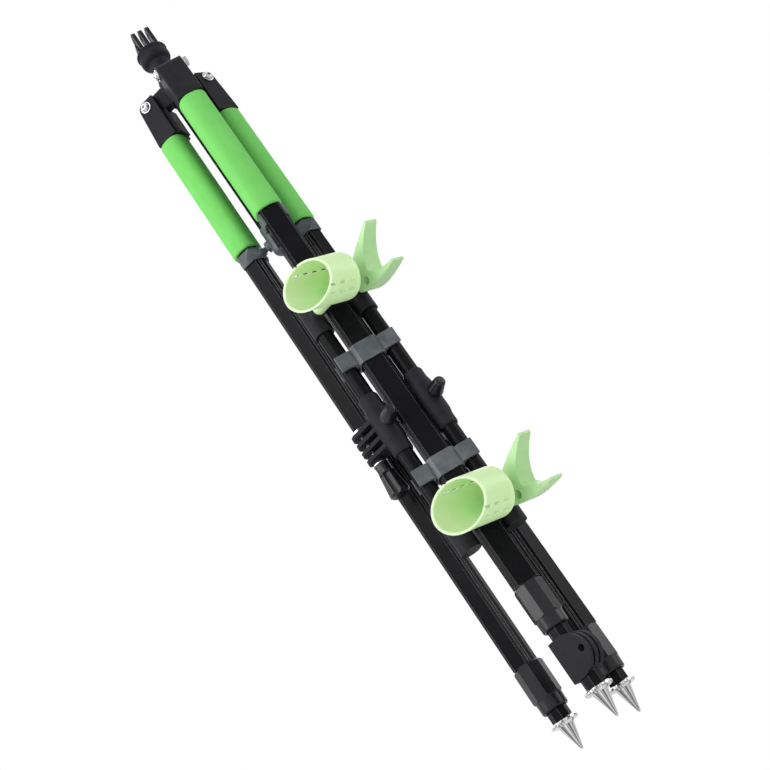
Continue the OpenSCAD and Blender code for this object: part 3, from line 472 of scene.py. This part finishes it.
def foam_rings(length):
    """Height and inset of each outer ring, from the lower end to the upper."""
    roll = [math.pi / 2 * i / ROLL_STEPS for i in range(ROLL_STEPS + 1)]
    lower = [(END_ROLL * (1 - math.sin(a)), END_ROLL * (1 - math.cos(a))) for a in reversed(roll)]
    straight = length - 2 * END_ROLL
    body = [(END_ROLL + straight * i / FOAM_ALONG, 0.0) for i in range(1, FOAM_ALONG)]
    upper = [(length - height, inset) for height, inset in reversed(lower)]
    return lower + body + upper


def ring(mesh, z, reaches):
    """One loop of points round the leg, with a reach for each spoke."""
    return [mesh.verts.new((c * reach, s * reach, z)) for (c, s), reach in zip(SPOKES, reaches)]


def foam_sleeve(leg):
    """A soft sleeve in place of one grip's solid."""
    low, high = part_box(f"foam_grip_{leg}")
    radius = (high.x - low.x) / 2
    length = high.z - low.z
    half_w, half_d = radius - UNEVEN, radius - UNEVEN - FRONT_FLAT
    mesh = bmesh.new()
    loops = []
    for height, inset in foam_rings(length):
        z = low.z + height
        reaches = []
        for c, s in SPOKES:
            round_square = (abs(c / half_w) ** SQUARENESS + abs(s / half_d) ** SQUARENESS) ** (-1 / SQUARENESS)
            wave = UNEVEN * noise.noise(Vector((WAVES_AROUND * c, WAVES_AROUND * s, WAVES_ALONG * z)))
            reaches.append(round_square - inset + wave)
        loops.append(ring(mesh, z, reaches))
    to_metal = [min(leg_half.x / max(abs(c), NEARLY_NONE), leg_half.y / max(abs(s), NEARLY_NONE))
                for c, s in SPOKES]
    for height, gap in ((length, LIP_GAP), (length - LIP_DEPTH, 0), (LIP_DEPTH, 0), (0, LIP_GAP)):
        reaches = [min(metal + gap, radius - END_ROLL - LIP_WALL) for metal in to_metal]
        loops.append(ring(mesh, low.z + height, reaches))
    for a, b in zip(loops, loops[1:] + loops[:1]):
        for k in range(FOAM_AROUND):
            n = (k + 1) % FOAM_AROUND
            mesh.faces.new((a[k], a[n], b[n], b[k]))
    sleeve = as_piece(mesh, f"foam_sleeve_{leg}", foam)
    sleeve.data.transform(leg_place(leg))
    sleeve.data.shade_smooth()
    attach(sleeve, f"leg_{leg}")
    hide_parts(f"foam_grip_{leg}")
    return sleeve


for leg in LEGS:
    sleeve = foam_sleeve(leg)
    print(sleeve.name, len(sleeve.data.polygons), "faces")

# %% [markdown]
# ## Open collars
#
# The grey collar under each grip is a clip that was pushed on from behind: its two arms end beside the leg's
# front face and leave that face bare. The solid is a closed ring, so a copy of its mesh is cut by a plane just
# behind the front face, and the two cut ends are closed again.

# %% Open collars
ARM_SETBACK = 1.2 * MM
WELD = 0.001 * MM
SHARP_ANGLE = math.radians(30)


def cut_and_close(mesh, point, normal):
    """Takes away what lies beyond a plane, on the side that its normal points to, and closes the cut."""
    cut = bmesh.ops.bisect_plane(mesh, geom=mesh.verts[:] + mesh.edges[:] + mesh.faces[:],
                                 plane_co=point, plane_no=normal, clear_outer=True)
    rims = [e for e in cut["geom_cut"] if isinstance(e, bmesh.types.BMEdge)]
    bmesh.ops.holes_fill(mesh, edges=rims, sides=0)


def open_collar(leg):
    """A collar with a bare front in place of one closed ring."""
    place = leg_place(leg)
    mesh = bmesh.new()
    mesh.from_mesh(nodes[f"leg_collar_{leg}"].data)
    bmesh.ops.transform(mesh, matrix=place.inverted(), verts=mesh.verts)
    bmesh.ops.remove_doubles(mesh, verts=mesh.verts, dist=WELD)
    cut_and_close(mesh, (0, ARM_SETBACK - leg_half.y, 0), (0, -1, 0))
    bmesh.ops.transform(mesh, matrix=place, verts=mesh.verts)
    collar = as_piece(mesh, f"open_collar_{leg}", grey)
    collar.data.set_sharp_from_angle(angle=SHARP_ANGLE)
    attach(collar, f"leg_{leg}")
    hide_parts(f"leg_collar_{leg}")
    return collar


for leg in LEGS:
    collar = open_collar(leg)
    print(collar.name, len(collar.data.polygons), "faces")

# %% [markdown]
# ## The crown's drum
#
# Under its fins the real crown is a rounded drum with a thin rim, where the solid has a plain ball. The fins and
# the rim are cut from a copy of the solid's mesh. The drum is one outline, spun round the column's axis, with
# the bore for the stud in it.

# %% The crown's drum
SPIN_STEPS = 96
RIM_FOOT = 36.1 * MM
BORE_GAP = 0.3 * MM
# Distance from the axis and height above the neck's foot, in millimetres
DRUM = [(11.0, 0.0), (11.0, 20.6), (11.7, 21.3), (13.6, 22.0), (15.2, 23.2), (16.2, 25.0), (16.6, 27.2),
        (16.6, 29.6), (16.3, 31.8), (15.8, 33.4), (15.6, 34.4), (16.1, 35.4), (17.0, 36.2)]


def drum_outline(foot):
    """Distance and height of each point of the outline in metres, with the stud's bore first."""
    stud_low, stud_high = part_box("crown_stud")
    bore_r = (stud_high.x - stud_low.x) / 2 + BORE_GAP
    bore_top = stud_high.z - foot + BORE_GAP
    skin = [(r * MM, h * MM) for r, h in DRUM]
    return [(0, bore_top), (bore_r, bore_top), (bore_r, 0), *skin, (0, skin[-1][1])]


def crown_head():
    """Fins and rim of the crown's solid over a spun drum."""
    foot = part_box("crown")[0].z
    mesh = bmesh.new()
    mesh.from_mesh(nodes["crown"].data)
    bmesh.ops.remove_doubles(mesh, verts=mesh.verts, dist=WELD)
    cut_and_close(mesh, (0, 0, foot + RIM_FOOT), (0, 0, -1))
    fins = set(mesh.faces)
    points = [mesh.verts.new((column_axis.x + r, column_axis.y, foot + h)) for r, h in drum_outline(foot)]
    strip = [mesh.edges.new(pair) for pair in zip(points, points[1:])]
    bmesh.ops.spin(mesh, geom=points + strip, cent=(column_axis.x, column_axis.y, 0), axis=(0, 0, 1),
                   angle=2 * math.pi, steps=SPIN_STEPS, use_merge=True)
    drum_points = [v for v in mesh.verts if not fins.intersection(v.link_faces)]
    bmesh.ops.remove_doubles(mesh, verts=drum_points, dist=WELD)
    head = as_piece(mesh, "crown_head", matte_black)
    head.data.shade_smooth()
    head.data.set_sharp_from_angle(angle=SHARP_ANGLE)
    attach(head, "crown")
    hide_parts("crown")
    return head


head = crown_head()
print(head.name, len(head.data.polygons), "faces")
